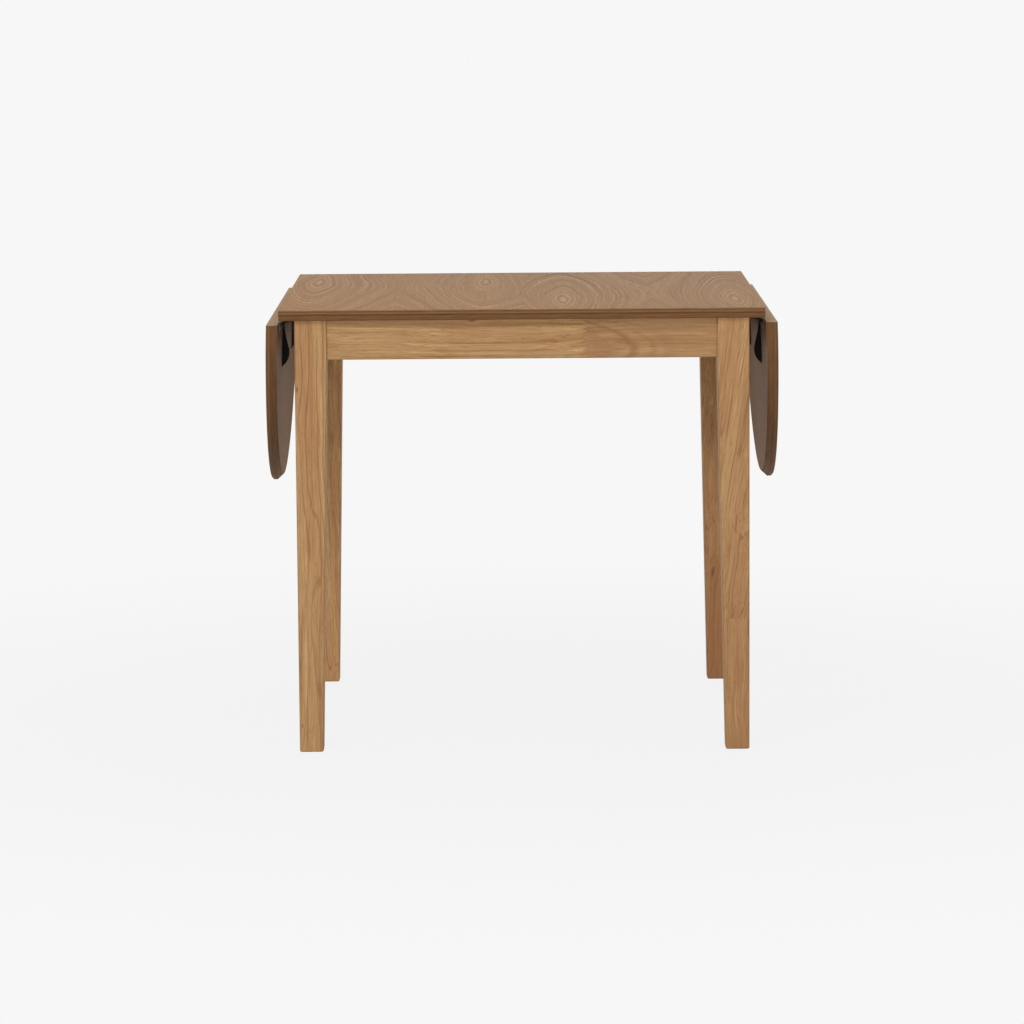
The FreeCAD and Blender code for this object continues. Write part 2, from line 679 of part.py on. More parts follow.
def supports():
    """Two self-locking supports to a leaf, with their screws."""
    table_screws = []
    under = UNDERSIDE.value - value("support_steel")
    inner = value("axis_drop") - value("support_steel")
    for name, side in SIDES:
        leaf_screws = []
        for end, way in ENDS:
            y = SUPPORT_Y * way
            support_bracket("%s_%s_support_bracket" % (end, name), side, y)
            leaf_bracket("%s_%s_leaf_bracket" % (end, name), side, y, way)
            lock_lever("%s_%s_lock_lever" % (end, name), side, y)
            for spot in (-1, 1):
                along = y.value + spot * value("plate_screw_spacing") / 2
                point = FreeCAD.Vector((AXIS_X.value - value("plate_screw_back")) * side, along, under)
                table_screws.append((point, FreeCAD.Vector(0, 0, 1)))
            for down in ("strap_screw_first", "strap_screw_last"):
                leaf_screws.append((leaf_point(side, inner, value(down), y.value), leaf_outward(side)))
        screws(name + "_leaf_bracket_screws", leaf_screws)
    screws("support_bracket_screws", table_screws)


def top_angle(label, x, y, angle):
    """A steel angle that ties an apron to the top, drawn with its back against the apron."""
    body = new_body(label)
    reach = D["angle_leg"]
    steel = D["angle_steel"]
    half = D["angle_width"] / 2
    profile = [(ZERO, -reach), (steel, -reach), (steel, -steel), (reach, -steel), (reach, ZERO), (ZERO, ZERO)]
    pad_across(body, -half, half, [profile])
    far = reach * 2 / 3
    drill(body, "XY_Plane", screw_holes([(far, ZERO)]))
    drill(body, "YZ_Plane", screw_holes([(ZERO, -far)]))
    place(body, x, y, UNDERSIDE, (0, 0, 1), angle)


def top_angles():
    spread = (LEG_X - D["leg_side"]) * D["angle_place_share"]
    spots = [("front_left", -spread, -FRONT_APRON_Y, 90), ("front_right", spread, -FRONT_APRON_Y, 90),
             ("rear_left", -spread, FRONT_APRON_Y, 270), ("rear_right", spread, FRONT_APRON_Y, 270)]
    far = value("angle_leg") * 2 / 3
    steel = value("angle_steel")
    places = []
    for name, x, y, angle in spots:
        top_angle(name + "_top_angle", x, y, as_size(angle))
        frame = FreeCAD.Placement(FreeCAD.Vector(x.value, y.value, UNDERSIDE.value),
                                  FreeCAD.Rotation(FreeCAD.Vector(0, 0, 1), angle))
        up = frame.multVec(FreeCAD.Vector(far, 0, -steel))
        places.append((up, FreeCAD.Vector(0, 0, 1)))
        back = frame.multVec(FreeCAD.Vector(steel, 0, -far))
        places.append((back, frame.Rotation.multVec(FreeCAD.Vector(-1, 0, 0))))
    screws("top_angle_screws", places)


def check_and_write():
    DOCUMENT.recompute()
    for thing in DOCUMENT.Objects:
        if "Invalid" in thing.State or "Error" in thing.State:
            raise RuntimeError("failed: " + thing.Label)
    for node in NODES:
        if node.Shape.isNull() or not node.Shape.isValid():
            raise RuntimeError("bad shape: " + node.Label)
    os.makedirs("parts", exist_ok=True)
    for node in NODES:
        node.Shape.exportStep("parts/%s.step" % node.Label)
        print(node.Label, len(node.Shape.Solids), round(node.Shape.Volume, 1))


def build():
    top_panel()
    for name, side in SIDES:
        leaf(name, side)
    for end, side_y in ENDS:
        for name, side_x in SIDES:
            leg(end, side_y, name, side_x)
            corner_block(end, side_y, name, side_x)
    aprons()
    leg_bolts()
    top_angles()
    hinges()
    supports()
    check_and_write()


build()
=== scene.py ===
import json
import math
from collections import namedtuple

import bmesh
import bpy
import numpy as np
from mathutils import Matrix, Vector

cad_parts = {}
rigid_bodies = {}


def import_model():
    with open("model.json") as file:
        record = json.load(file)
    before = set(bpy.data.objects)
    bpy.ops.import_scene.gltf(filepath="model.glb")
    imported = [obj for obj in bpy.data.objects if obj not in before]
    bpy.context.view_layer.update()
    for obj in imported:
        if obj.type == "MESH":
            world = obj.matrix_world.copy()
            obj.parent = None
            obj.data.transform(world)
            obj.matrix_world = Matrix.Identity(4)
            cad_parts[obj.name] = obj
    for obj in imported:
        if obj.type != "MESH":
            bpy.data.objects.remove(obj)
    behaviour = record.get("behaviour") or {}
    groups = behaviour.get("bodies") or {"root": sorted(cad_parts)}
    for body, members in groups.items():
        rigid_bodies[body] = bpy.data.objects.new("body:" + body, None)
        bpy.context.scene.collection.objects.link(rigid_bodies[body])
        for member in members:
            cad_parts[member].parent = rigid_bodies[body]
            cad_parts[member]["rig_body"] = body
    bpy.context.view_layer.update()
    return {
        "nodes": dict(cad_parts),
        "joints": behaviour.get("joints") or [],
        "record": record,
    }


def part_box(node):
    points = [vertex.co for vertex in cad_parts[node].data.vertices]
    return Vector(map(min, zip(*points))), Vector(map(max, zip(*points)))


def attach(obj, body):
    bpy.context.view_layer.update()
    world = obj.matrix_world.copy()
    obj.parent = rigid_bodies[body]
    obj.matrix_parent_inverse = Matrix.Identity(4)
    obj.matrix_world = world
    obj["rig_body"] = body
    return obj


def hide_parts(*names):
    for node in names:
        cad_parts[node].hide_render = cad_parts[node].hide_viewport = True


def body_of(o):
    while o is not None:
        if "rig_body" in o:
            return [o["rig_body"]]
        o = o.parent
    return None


# The looks of a drop-leaf table: veneered boards, a honey-coloured hardwood frame and steel fittings.
# Everything is in metres in the row frame: X from leaf to leaf, Y to the back, Z up.

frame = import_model()
nodes = frame["nodes"]

MM = 0.001
TOP_LOW, TOP_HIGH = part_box("top_panel")
BOARD_THICKNESS = TOP_HIGH.z - TOP_LOW.z
LEAF_HINGES = [joint for joint in frame["joints"] if joint["name"].endswith("_leaf_hinge")]
# A leaf swings up level with the top, so its swing falls short of a right angle by its lean from plumb.
HANG_LEAN = math.radians(90 - max(LEAF_HINGES[0]["range_deg"]))


def srgb(red, green, blue):
    """A colour given as 0 to 255 screen values, as linear RGBA."""
    linear = []
    for channel in (red, green, blue):
        share = channel / 255
        linear.append(share / 12.92 if share <= 0.04045 else ((share + 0.055) / 1.055) ** 2.4)
    return (*linear, 1)


class Flow:
    """A socket of a material that can be used in sums."""

    def __init__(self, graph, socket):
        self.graph = graph
        self.socket = socket

    def __add__(self, other):
        return self.graph.math("ADD", self, other)

    def __sub__(self, other):
        return self.graph.math("SUBTRACT", self, other)

    def __rsub__(self, other):
        return self.graph.math("SUBTRACT", other, self)

    def __mul__(self, other):
        return self.graph.math("MULTIPLY", self, other)

    def __truediv__(self, other):
        return self.graph.math("DIVIDE", self, other)

    def power(self, exponent):
        return self.graph.math("POWER", self, exponent)

    def fraction(self):
        return self.graph.math("FRACT", self)

    def absolute(self):
        return self.graph.math("ABSOLUTE", self)

    def above(self, level):
        return self.graph.math("GREATER_THAN", self, level)

    def smooth(self, low, high, start=0.0, end=1.0):
        """Eases from start to end as the value goes from low to high."""
        return self.graph.smooth(self, low, high, start, end)

    def spread(self, start=0.0, end=1.0):
        """Takes noise, most of which lies between 0.3 and 0.7, to the range from start to end."""
        return self.smooth(0.3, 0.7, start, end)


BUMP_STRENGTH = 0.6
# The sockets of a mix node that mixes colours.
MIX_SHARE, MIX_FIRST, MIX_SECOND, MIX_RESULT = 0, 6, 7, 2


class Graph:
    """A node material, built up from object coordinates."""

    def __init__(self, name, roughness=0.5, metallic=0.0, specular=0.5):
        self.material = bpy.data.materials.new(name)
        self.material.use_nodes = True
        self.tree = self.material.node_tree
        self.shader = self.tree.nodes["Principled BSDF"]
        self.shader.inputs["Roughness"].default_value = roughness
        self.shader.inputs["Metallic"].default_value = metallic
        self.shader.inputs["Specular IOR Level"].default_value = specular
        coordinates = self.tree.nodes.new("ShaderNodeTexCoord")
        self.place = Flow(self, coordinates.outputs["Object"])
        parts = self.tree.nodes.new("ShaderNodeSeparateXYZ")
        self.connect(self.place, parts.inputs[0])
        self.x, self.y, self.z = [Flow(self, socket) for socket in parts.outputs]

    def connect(self, value, socket):
        if isinstance(value, Flow):
            self.tree.links.new(value.socket, socket)
        else:
            socket.default_value = value

    def math(self, operation, *values):
        node = self.tree.nodes.new("ShaderNodeMath")
        node.operation = operation
        for value, socket in zip(values, node.inputs):
            self.connect(value, socket)
        return Flow(self, node.outputs[0])

    def smooth(self, value, low, high, start, end):
        node = self.tree.nodes.new("ShaderNodeMapRange")
        node.interpolation_type = "SMOOTHSTEP"
        for amount, socket in zip((value, low, high, start, end), node.inputs):
            self.connect(amount, socket)
        return Flow(self, node.outputs[0])

    def spot(self, first, second):
        """1 at the middle of a soft round spot and less farther off; distances are counted in its radii."""
        return self.math("EXPONENT", (first * first + second * second) * -1.0)

    def texture(self, vector, scale, detail, roughness):
        node = self.tree.nodes.new("ShaderNodeTexNoise")
        self.connect(vector, node.inputs["Vector"])
        node.inputs["Scale"].default_value = scale
        node.inputs["Detail"].default_value = detail
        node.inputs["Roughness"].default_value = roughness
        return Flow(self, node.outputs[0])

    def noise(self, x, y, z, detail=2.0, roughness=0.5):
        """Smooth noise between 0 and 1; the coordinates count its cells."""
        node = self.tree.nodes.new("ShaderNodeCombineXYZ")
        for value, socket in zip((x, y, z), node.inputs):
            self.connect(value, socket)
        return self.texture(Flow(self, node.outputs[0]), 1.0, detail, roughness)

    def speckle(self, per_metre, detail=2.0):
        """Smooth noise between 0 and 1 with as many cells per metre in every direction."""
        return self.texture(self.place, per_metre, detail, 0.5)

    def ramp(self, value, stops):
        """Colours at positions between 0 and 1."""
        node = self.tree.nodes.new("ShaderNodeValToRGB")
        self.connect(value, node.inputs[0])
        elements = node.color_ramp.elements
        while len(elements) < len(stops):
            elements.new(1)
        for element, (position, colour) in zip(elements, stops):
            element.position = position
            element.color = colour
        return Flow(self, node.outputs[0])

    def mix(self, share, first, second, blend="MIX"):
        node = self.tree.nodes.new("ShaderNodeMix")
        node.data_type = "RGBA"
        node.blend_type = blend
        self.connect(share, node.inputs[MIX_SHARE])
        self.connect(first, node.inputs[MIX_FIRST])
        self.connect(second, node.inputs[MIX_SECOND])
        return Flow(self, node.outputs[MIX_RESULT])

    def finish(self, colour, height, depth, roughness):
        """Sends colour, bump and roughness to the shader and returns the material."""
        self.connect(colour, self.shader.inputs["Base Color"])
        bump = self.tree.nodes.new("ShaderNodeBump")
        bump.inputs["Strength"].default_value = BUMP_STRENGTH
        bump.inputs["Distance"].default_value = depth
        self.connect(height, bump.inputs["Height"])
        self.connect(Flow(self, bump.outputs[0]), self.shader.inputs["Normal"])
        self.connect(roughness, self.shader.inputs["Roughness"])
        return self.material


# How many cells of noise there are to a metre across the grain and along it.
Cells = namedtuple("Cells", "across along")

# The figure of the veneer: rings close round long eyes, which lie in two columns either side of a seam
# and nearer the back on one side of it than on the other.
SEAM = 4 * MM
SEAM_BLEND = 55 * MM
EYE_FROM_SEAM = 69 * MM
EYE_SPACING = 295 * MM
EYE_ALONG = 186 * MM
SADDLE_ALONG = 66 * MM
EYE_STRETCH = 0.95
SADDLE_STRETCH = 0.62
CONE_BULGE = 0.35
SPINDLE = 1.6
RINGS = 19

# How far the warp and the ripple of the grain push the figure aside.
WARP_ACROSS = 0.09
WARP_ALONG = 0.10
RIPPLE_ACROSS = 0.032
RIPPLE_RINGS = 0.9
RIPPLE_HEART = 0.05

VENEER_WARP = Cells(9, 2.2)
VENEER_RIPPLE = Cells(70, 8)
VENEER_STRENGTH = Cells(14, 3)
VENEER_STREAK = Cells(620, 4)
VENEER_FIBRE = Cells(1500, 30)
VENEER_PORE = Cells(1500, 55)

VENEER = srgb(168, 136, 106)
VENEER_PALE = srgb(203, 173, 143)
VENEER_DARK = srgb(122, 91, 64)
VENEER_HEART = srgb(150, 117, 90)
PORE_DARK = srgb(112, 84, 60)
PORE_SHARE = 0.38
FRESH = srgb(246, 246, 244)
AGED = srgb(255, 242, 216)
AGED_SHARE = 0.7

GROWTH_STOPS = ((0.34, VENEER_DARK), (0.48, VENEER), (0.54, VENEER), (0.67, VENEER_PALE))
RING_STOPS = ((0.0, VENEER_PALE), (0.22, VENEER), (0.75, VENEER), (1.0, VENEER_DARK))
HEART_STOPS = (
    (0.0, VENEER_PALE), (0.040, VENEER_PALE), (0.062, VENEER_HEART), (0.095, VENEER), (0.115, VENEER_PALE),
    (0.138, VENEER), (0.162, VENEER), (0.180, VENEER_PALE), (0.200, VENEER),
)

# Each veneered face has one pin knot: its place and its radii, across and along.
PIN_ACROSS = 193 * MM
PIN_ALONG = 99 * MM
PIN_HALF_WIDTH = 1.6 * MM
PIN_HALF_LENGTH = 9 * MM
PIN_DARK = srgb(84, 62, 46)
PIN_SHARE = 0.8

OUTER_TINT = (1.05, 0.985, 0.885, 1)
UNDERSIDE_TINT = (0.96, 0.91, 0.86, 1)
LEAF_BACK_TINT = (0.70, 0.63, 0.54, 1)
LEAF_BACK_FIGURE = 0.35


def eye_field(u, v, warp, ripple):
    """A field of long cones, 0 at each eye, whose contour lines are the growth rings."""
    straight = ((u - SEAM).absolute() - EYE_FROM_SEAM) / EYE_SPACING
    from_eye = straight + warp * WARP_ACROSS + ripple * RIPPLE_ACROSS
    wave = ((from_eye + 0.5).fraction() - 0.5).absolute() * 2
    slope = wave * (1 + CONE_BULGE - wave * CONE_BULGE)
    hand = u.smooth(SEAM - SEAM_BLEND, SEAM + SEAM_BLEND, 1.0, -1.0)
    eye = hand * (EYE_ALONG - wave * (EYE_ALONG - SADDLE_ALONG))
    ahead = v - eye + warp * WARP_ALONG
    long_way = ahead / EYE_STRETCH
    arch = ahead / SADDLE_STRETCH
    spindle = slope.power(SPINDLE) + long_way.absolute().power(SPINDLE)
    steep = slope * slope
    return spindle.power(1 / SPINDLE) + steep * steep * arch * arch


def veneer(name, across, along, tint, seed=0.0, figure=1.0):
    """Crown-cut veneer with growth rings round long eyes, and fibres, streaks and pores along them.

    across and along pick the board's own directions from a graph, and figure is how strongly the rings show.
    """
    g = Graph(name, specular=0.12)
    u = across(g)
    v = along(g)

    def strands(cells, layer, detail, roughness=0.5):
        return g.noise(u * cells.across, v * cells.along, layer, detail, roughness)

    warp = g.noise(u * VENEER_WARP.across + seed, v * VENEER_WARP.along, seed) - 0.5
    ripple = strands(VENEER_RIPPLE, seed, detail=4, roughness=0.6) - 0.5
    strength = strands(VENEER_STRENGTH, seed + 4, detail=2)
    streak = strands(VENEER_STREAK, seed, detail=3)
    fibre = strands(VENEER_FIBRE, seed, detail=2)
    pore = strands(VENEER_PORE, seed + 9, detail=1).smooth(0.62, 0.70)
    field = eye_field(u, v, warp, ripple)

    ring = (field * RINGS + ripple * RIPPLE_RINGS).fraction()
    growth = g.noise(field * (RINGS * 2) + seed, v * 0.8, u * 2, detail=4, roughness=0.68)
    ring_share = strength.smooth(0.35, 0.60, 0.20, 0.50)
    rings = g.mix(ring_share, g.ramp(growth, GROWTH_STOPS), g.ramp(ring, RING_STOPS))
    heart = g.ramp(field + ripple * RIPPLE_HEART, HEART_STOPS)
    figured = g.mix(field.smooth(0.17, 0.24, 0.60, 0.0), rings, heart)
    if figure < 1:
        figured = g.mix(figure, VENEER, figured)
    streaked = g.mix(streak.smooth(0.42, 0.70, 0.0, 0.34), figured, VENEER_DARK)
    pored = g.mix(pore * PORE_SHARE, streaked, PORE_DARK)
    pin = g.spot((u - PIN_ACROSS) / PIN_HALF_WIDTH, (v - PIN_ALONG) / PIN_HALF_LENGTH)
    pinned = g.mix(pin * PIN_SHARE, pored, PIN_DARK)

    # The wood of the top has aged most towards its front left corner.
    age = (u * -0.6 - v * 0.9 + strength * 0.3).smooth(-0.35, 0.65)
    aged = g.mix(AGED_SHARE, pinned, g.mix(age, FRESH, AGED), "MULTIPLY")
    colour = g.mix(1.0, aged, tint, "MULTIPLY")
    return g.finish(colour, height=fibre, depth=0.06 * MM, roughness=fibre.spread(0.56, 0.66))


# The layers of a board's edge, as a share of its thickness below the show face and a colour.
EDGE_LAYERS = (
    (0.0, srgb(160, 127, 97)), (0.07, srgb(146, 112, 80)), (0.11, srgb(104, 70, 41)),
    (0.17, srgb(108, 74, 44)), (0.22, srgb(137, 102, 70)), (0.32, srgb(137, 101, 68)),
    (0.40, srgb(92, 58, 30)), (0.47, srgb(100, 65, 36)), (0.53, srgb(148, 107, 71)),
    (0.86, srgb(144, 103, 67)), (1.0, srgb(112, 78, 48)),
)
EDGE_PLAIN = srgb(116, 86, 60)
EDGE_FLECK = srgb(84, 55, 30)
EDGE_CLOUD = srgb(138, 100, 66)
EDGE_STREAK = srgb(92, 60, 34)
EDGE_STAIN = (0.92, 0.92, 0.91, 1)
EDGE_BARE = srgb(196, 164, 131)
LEAF_EDGE_LAYERED = 0.35
HINGE_EDGE_BARE = 0.75


def edge_band(name, depth, layered=1.0, bare=0.0):
    """The dark stained edge of a board.

    depth picks the distance below the show face from a graph, layered is how far the layers show and bare how
    little stain there is.
    """
    g = Graph(name, specular=0.06)
    below = depth(g) / BOARD_THICKNESS
    fleck = g.speckle(900)
    cloud = g.speckle(24, detail=3)
    streak = g.noise(below * 16, g.y * 24, (g.x + g.z) * 24, detail=4, roughness=0.6)
    layers = g.ramp(below, EDGE_LAYERS)
    if layered < 1:
        layers = g.mix(layered, EDGE_PLAIN, layers)
    flecked = g.mix(fleck.smooth(0.42, 0.66, 0.0, 0.16), layers, EDGE_FLECK)
    clouded = g.mix(cloud.spread(0.0, 0.25), flecked, EDGE_CLOUD)
    streaked = g.mix(streak.smooth(0.38, 0.66, 0.0, 0.50), clouded, EDGE_STREAK)
    stained = g.mix(1.0, streaked, EDGE_STAIN, "MULTIPLY")
    colour = g.mix(bare, stained, EDGE_BARE)
    return g.finish(colour, height=streak, depth=0.08 * MM, roughness=streak.spread(0.52, 0.66))


HONEY = srgb(176, 136, 94)
HONEY_PALE = srgb(204, 167, 121)
HONEY_BROAD = srgb(158, 115, 73)
HONEY_DARK = srgb(141, 99, 60)
HONEY_LINE = srgb(122, 82, 47)
HONEY_PORE = srgb(108, 72, 41)
HONEY_PORE_SHARE = 0.5
NEXT_BOARD = srgb(154, 115, 79)
ARCH_DARK = srgb(128, 88, 54)
FOOT_RUDDY = srgb(124, 78, 46)
KNOT_DARK = srgb(98, 62, 36)
KNOT_SHARE = 0.6
BAND_STOPS = ((0.33, HONEY_DARK), (0.47, HONEY), (0.56, HONEY), (0.70, HONEY_PALE))
# The hue of the wood wanders a little between redder and yellower.
REDDER = (1.01, 0.99, 0.98)
YELLOWER = (1.01, 1.04, 0.98)

WANDER = Cells(11, 4.5)
BANDS = Cells(150, 2.2)
BROAD = Cells(30, 3)
GROWTH = Cells(60, 0.8)
DRIFT = Cells(10, 4.2)
FIBRE = Cells(760, 14)
DASH = Cells(1050, 62)
GROWTH_LINES = 6
RIFT_LINES_PER_METRE = 80
RIFT_DRIFT = 58 * MM
RIFT_UNEVEN = 2.6

# A joint between two lengths of a board, end to end: its place along the board, the pitch and depth of its
# fingers, how much darker the next length is and how dark the line between them.
Joint = namedtuple("Joint", "end pitch depth shade gap")
JOINT_LINE = 0.9 * MM
NEXT_BOARD_SHIFT = 0.31

# Growth rings that sweep over the length after a joint: the place along the board and the height of their
# tip, and how sharply they turn there.
Arch = namedtuple("Arch", "tip level sharp")

# A knot: its place along the board and across it, and its radius across the grain.
Knot = namedtuple("Knot", "along cross size")
KNOT_STRETCH = 3.0
KNOT_PARTING = 0.8

# Darker wood at the foot of a leg: the height up to which it is darkest, the height at which it ends and
# its share.
Foot = namedtuple("Foot", "low high share")


def finger_joint(cross, along, joint):
    """1 past a joint and 0 before it, and the line of the joint itself."""
    zigzag = ((cross / joint.pitch).fraction() - 0.5).absolute() * joint.depth * 2
    reach = along + zigzag - joint.end
    return reach.above(0), reach.absolute().smooth(0.0, JOINT_LINE, 0.5, 0.0)


def part_round_knots(g, cross, along, knots):
    """The way across a board with its grain parted round the knots, and the dark middles of the knots."""
    middles = 0.0
    for knot in knots:
        far_along = (along - knot.along) / (knot.size * KNOT_STRETCH)
        far_cross = (cross - knot.cross) / knot.size
        near = g.spot(far_along, far_cross)
        cross = cross - far_cross * near * (knot.size * KNOT_PARTING)
        middles = near.smooth(0.80, 1.0) + middles
    return cross, middles


def arched_rings(g, arch, cross, deep, place, wander, seed):
    """How dark the growth rings are that sweep over a board in an arch."""
    rise = cross - arch.level
    rough = g.noise(place * 45, deep * 20, cross * 60 + seed, detail=4, roughness=0.6) - 0.5
    swept = place - arch.tip + rise * rise * arch.sharp + wander * 0.05 + rough * 0.028
    rings = g.noise(swept * 62, deep * 10, seed).smooth(0.40, 0.62, 0.0, 0.5)
    crest = swept.absolute().smooth(0.0, 14 * MM, 0.34, 0.0)
    fade = swept.absolute().smooth(20 * MM, 120 * MM, 1.0, 0.25)
    return (rings * 0.5 + crest) * fade


def hardwood(name, axis, seed, tone=1.0, wave=0.02, joint=None, arch=None, knots=(), lean=0.0, foot=None,
             rift=False):
    """Lacquered plain-sawn hardwood with its grain along an axis: wavy bands, fibres and short pores.

    tone is how bright the wood is, with painted light where it is raised to offset shade, and wave how far
    its grain wanders, in metres.
    joint, arch, knots and foot are of the kinds above; arch needs a joint.
    lean is how far the grain runs out across the board for each length along it, after the joint if there is
    one. rift is for grain whose growth lines run side by side all along the board.
    """
    g = Graph(name, specular=0.2)
    cross, deep, place = {"x": (g.z, g.y, g.x), "y": (g.z, g.x, g.y), "z": (g.x, g.y, g.z)}[axis]
    along = place
    after = 1.0
    if joint:
        after, joint_line = finger_joint(cross, place, joint)
        along = place + after * NEXT_BOARD_SHIFT
    cross, middles = part_round_knots(g, cross, place, knots)
    cross = cross + place * lean * after

    wander = g.noise(cross * WANDER.across + seed, deep * WANDER.across, along * WANDER.along, detail=1) - 0.5
    bend = wander * wave
    u = cross + bend
    w = deep + bend
    bands = g.noise(u * BANDS.across, w * BANDS.across, along * BANDS.along + seed, detail=5, roughness=0.70)
    broad = g.noise(cross * BROAD.across + seed, deep * BROAD.across + bend * 60, along * BROAD.along)
    growth = g.noise(u * GROWTH.across + seed, w * GROWTH.across, along * GROWTH.along, detail=1)
    fibre = g.noise(u * FIBRE.across, w * FIBRE.across, along * FIBRE.along + seed, detail=3)
    dash = g.noise(cross * DASH.across + seed, deep * DASH.across, along * DASH.along, detail=1)
    pore = dash.smooth(0.63, 0.71)
    if rift:
        drift = g.noise(cross * DRIFT.across + seed, deep * DRIFT.across, along * DRIFT.along, detail=1)
        lines = (cross + drift * RIFT_DRIFT) * RIFT_LINES_PER_METRE + growth * RIFT_UNEVEN
        line = (lines.fraction() - 0.5).absolute().smooth(0.0, 0.17, 0.85, 0.0)
        shown = broad.smooth(0.34, 0.66, 0.85, 0.45)
    else:
        line = ((growth * GROWTH_LINES).fraction() - 0.5).absolute().smooth(0.0, 0.11, 0.85, 0.0)
        shown = broad.smooth(0.38, 0.62, 0.85, 0.15)

    banded = g.mix(broad.spread(0.55, 0.0), g.ramp(bands, BAND_STOPS), HONEY_BROAD)
    lined = g.mix(line * shown, banded, HONEY_LINE)
    fibred = g.mix(fibre.smooth(0.42, 0.68, 0.0, 0.50), lined, HONEY_DARK)
    colour = g.mix(pore * HONEY_PORE_SHARE, fibred, HONEY_PORE)
    if joint:
        colour = g.mix(after * joint.shade, colour, NEXT_BOARD)
        colour = g.mix(joint_line * joint.gap, colour, HONEY_PORE)
    if arch:
        colour = g.mix(arched_rings(g, arch, cross, deep, place, wander, seed) * after, colour, ARCH_DARK)
    if foot:
        colour = g.mix(place.smooth(foot.low, foot.high, foot.share, 0.0), colour, FOOT_RUDDY)
    if knots:
        colour = g.mix(middles * KNOT_SHARE, colour, KNOT_DARK)
    redder, yellower = [(*(tone * channel for channel in hue), 1) for hue in (REDDER, YELLOWER)]
    toned = g.mix(1.0, colour, g.mix(broad.smooth(0.35, 0.65), redder, yellower), "MULTIPLY")
    height = fibre * 0.6 - pore * 0.6
    return g.finish(toned, height, depth=0.10 * MM, roughness=fibre.spread(0.48, 0.60))


SAWN_PALE = srgb(196, 164, 122)
SAWN_DEEP = srgb(172, 136, 94)
SAWN_MARK = srgb(148, 112, 74)


def sawn_wood(name):
    """Bare sawn hardwood, as on blocks that are never seen from outside."""
    g = Graph(name, specular=0.2)
    saw = g.noise(g.x * 60, g.y * 60, g.z * 900)
    body = g.mix(g.speckle(35, detail=3).spread(), SAWN_PALE, SAWN_DEEP)
    colour = g.mix(saw.smooth(0.4, 0.7, 0.0, 0.4), body, SAWN_MARK)
    return g.finish(colour, height=saw, depth=0.25 * MM, roughness=saw.spread(0.68, 0.82))


# The hinges' nickel is far darker than plated steel is: painted shade for the shadow the hinges sit in under
# the top.
NICKEL_PAINTED_SHADE = srgb(104, 98, 90)
NICKEL_DULL_PAINTED_SHADE = srgb(62, 57, 51)
NICKEL_ROUGHNESS = 0.20
ZINC = srgb(186, 190, 194)
ZINC_DULL = srgb(140, 145, 150)
ZINC_ROUGHNESS = 0.18
BLACK = srgb(13, 12, 12)
BLACK_RUBBED = srgb(34, 32, 31)


def plated(name, colour, dull, roughness):
    """Plated steel with faint cloudy tarnish and fine rolling marks."""
    g = Graph(name, metallic=1.0)
    cloud = g.speckle(160, detail=3)
    marks = g.noise(g.x * 500, g.y * 4000, g.z * 500)
    body = g.mix(cloud.smooth(0.35, 0.75, 0.0, 0.7), colour, dull)
    uneven = cloud * 0.25 + marks * 0.12
    return g.finish(body, height=marks, depth=0.02 * MM, roughness=uneven + roughness)


def coated(name):
    """Black coated steel: fine orange-peel with a few paler rubbed spots."""
    g = Graph(name, specular=0.25)
    peel = g.speckle(1400)
    rub = g.speckle(90, detail=4).smooth(0.62, 0.78)
    colour = g.mix(rub * 0.5, BLACK, BLACK_RUBBED)
    return g.finish(colour, height=peel, depth=0.05 * MM, roughness=peel.spread(0.42, 0.56))


# A face looks a given way when the cosine of the angle between them is over this.
LOOKS_ALONG = 0.99
# The height of the seam of the figure on a hanging leaf.
LEAF_SEAM_HEIGHT = 310 * MM
UP = Vector((0, 0, 1))


def dress(node, *materials):
    """Gives a CAD node its materials; the first is on every face until faces are picked out."""
    mesh = nodes[node].data
    mesh.materials.clear()
    for material in materials:
        mesh.materials.append(material)
    for polygon in mesh.polygons:
        polygon.material_index = 0


def dress_board(node, normal, show, back, edge, ledge_normal=None, ledge=None):
    """A board's show face, back face and edges, picked by the way its faces look.

    ledge is for one straight edge with a look of its own, and ledge_normal the way that edge looks.
    """
    dress(node, edge, show, back, ledge or edge)
    for polygon in nodes[node].data.polygons:
        facing = polygon.normal.dot(normal)
        if facing > LOOKS_ALONG:
            polygon.material_index = 1
        elif facing < -LOOKS_ALONG:
            polygon.material_index = 2
        elif ledge_normal and polygon.normal.dot(ledge_normal) > LOOKS_ALONG:
            polygon.material_index = 3


def across_top(g):
    return g.x


def across_leaf(g):
    return g.z - LEAF_SEAM_HEIGHT


def along_boards(g):
    return g.y


def below_face(node, normal):
    """Picks the distance below a board's show face from a graph."""
    face = max(vertex.co.dot(normal) for vertex in nodes[node].data.vertices)
    return lambda g: face - (g.x * normal.x + g.y * normal.y + g.z * normal.z)


def dress_top():
    show = veneer("top_veneer", across_top, along_boards, OUTER_TINT)
    back = veneer("top_underside", across_top, along_boards, UNDERSIDE_TINT, seed=3.0)
    edge = edge_band("top_edge", below_face("top_panel", UP))
    dress_board("top_panel", UP, show, back, edge)


def dress_leaf(name, side, seed):
    """A hanging leaf; side is -1 for the left one and 1 for the right one."""
    outward = Vector((side * math.cos(HANG_LEAN), 0, math.sin(HANG_LEAN)))
    upward = Vector((-side * math.sin(HANG_LEAN), 0, math.cos(HANG_LEAN)))
    depth = below_face(name, outward)
    show = veneer(name + "_veneer", across_leaf, along_boards, OUTER_TINT, seed)
    back = veneer(name + "_back", across_leaf, along_boards, LEAF_BACK_TINT, seed + 5, LEAF_BACK_FIGURE)
    edge = edge_band(name + "_edge", depth, LEAF_EDGE_LAYERED)
    ledge = edge_band(name + "_hinge_edge", depth, bare=HINGE_EDGE_BARE)
    dress_board(name, outward, show, back, edge, upward, ledge)


